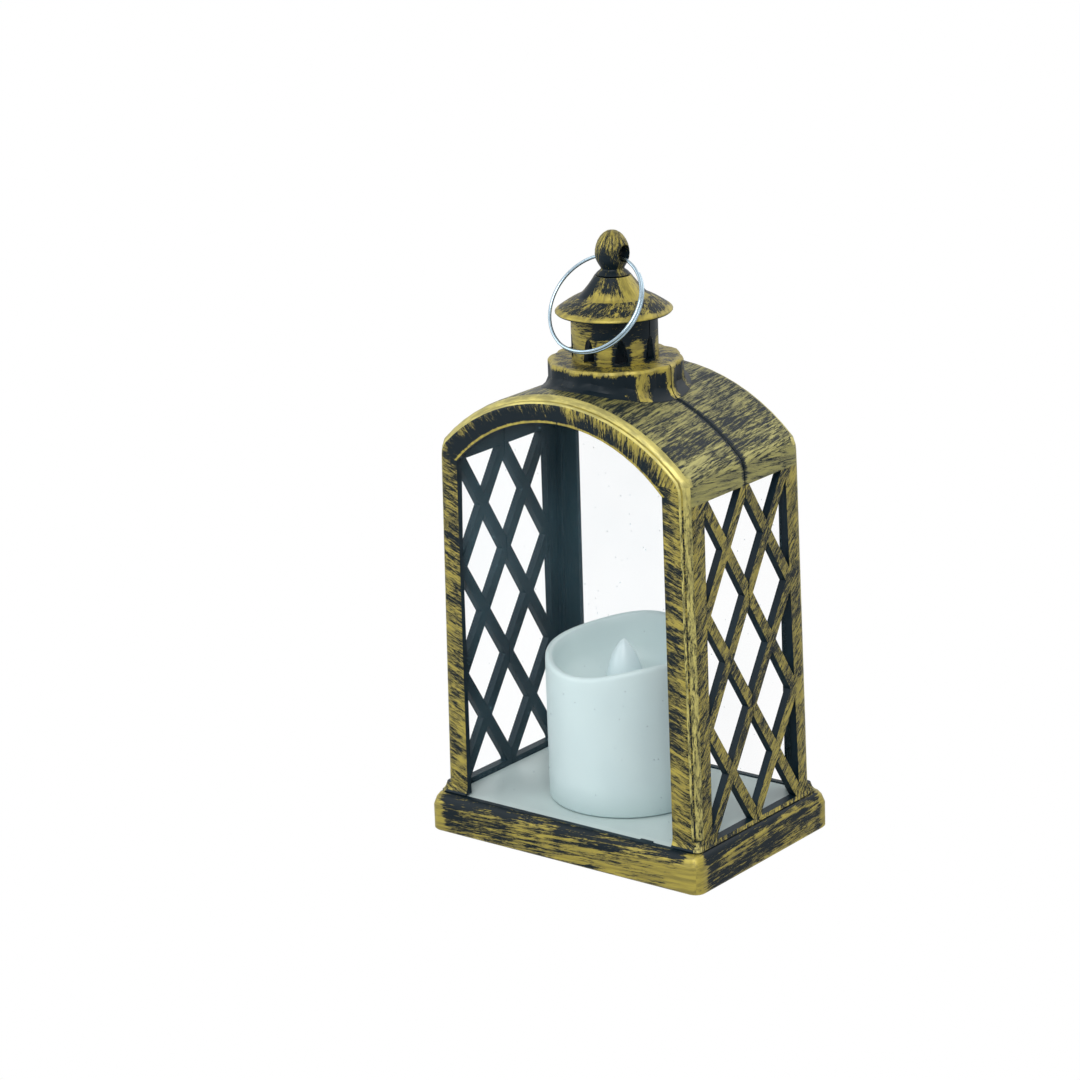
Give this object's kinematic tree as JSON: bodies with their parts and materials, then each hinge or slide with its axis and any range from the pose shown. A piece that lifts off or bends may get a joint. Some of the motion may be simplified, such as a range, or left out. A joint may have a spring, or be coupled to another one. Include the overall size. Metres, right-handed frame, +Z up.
{
  "type": "decorative led lantern",
  "caption": "Small arched lantern with diamond lattice sides, clear panes, a ridged collar, a vented drum, a bell cap with a split ring, and an LED candle inside.",
  "frame": {"origin": "middle of the underside, on the table", "axes": "+X to the right along the wide arched front, +Y from the front to the back, +Z up"},
  "size_m": [0.084, 0.0572, 0.155],
  "materials": {
    "gold_over_dark": "worn brushed gold over blue-black",
    "bright_steel": "bright plated wire",
    "clear_plastic": "clear, slightly hazy",
    "white_plastic": "satin cool white",
    "led_resin": "clear warm resin",
    "board_green": "coated board",
    "cell_steel": "nickel plated",
    "lead_black": "insulation",
    "lead_red": "insulation",
    "dark_plastic": "moulded blue-black",
    "screw_steel": "zinc plated"
  },
  "bodies": {
    "lantern": {"plinth": "gold_over_dark", "front_shell": "gold_over_dark", "back_shell": "gold_over_dark", "cap": "gold_over_dark", "finial": "gold_over_dark", "front_pane": "clear_plastic", "back_pane": "clear_plastic", "floor_plate": "white_plastic", "candle_body": "white_plastic", "flame_diffuser": "white_plastic", "candle_core": "white_plastic", "flame_led": "led_resin", "led_board": "board_green", "coin_cell": "cell_steel", "contact_negative": "cell_steel", "contact_positive": "cell_steel", "lead_negative": "lead_black", "lead_positive": "lead_red", "lead_switch": "lead_red", "base_cover": "dark_plastic", "switch_body": "dark_plastic", "base_screw_1": "screw_steel", "base_screw_2": "screw_steel", "base_screw_3": "screw_steel", "base_screw_4": "screw_steel"},
    "ring": {"split_ring": "bright_steel"},
    "door": {"battery_door": "dark_plastic", "door_screw": "screw_steel"},
    "knob": {"switch_knob": "dark_plastic"}
  },
  "joints": [
    {"name": "ring_swing", "type": "hinge", "parent": "lantern", "child": "ring", "pos_m": [0, 0, 0.14868], "axis": [-1, 0, 0], "range_deg": [0, 288]},
    {"name": "door_hinge", "type": "hinge", "parent": "lantern", "child": "door", "pos_m": [0, 0.0113, 0.0009], "axis": [1, 0, 0], "range_deg": [0, 80]},
    {"name": "switch_slide", "type": "slide", "parent": "lantern", "child": "knob", "axis": [0, 1, 0], "range_m": [0, 0.002]}
  ]
}
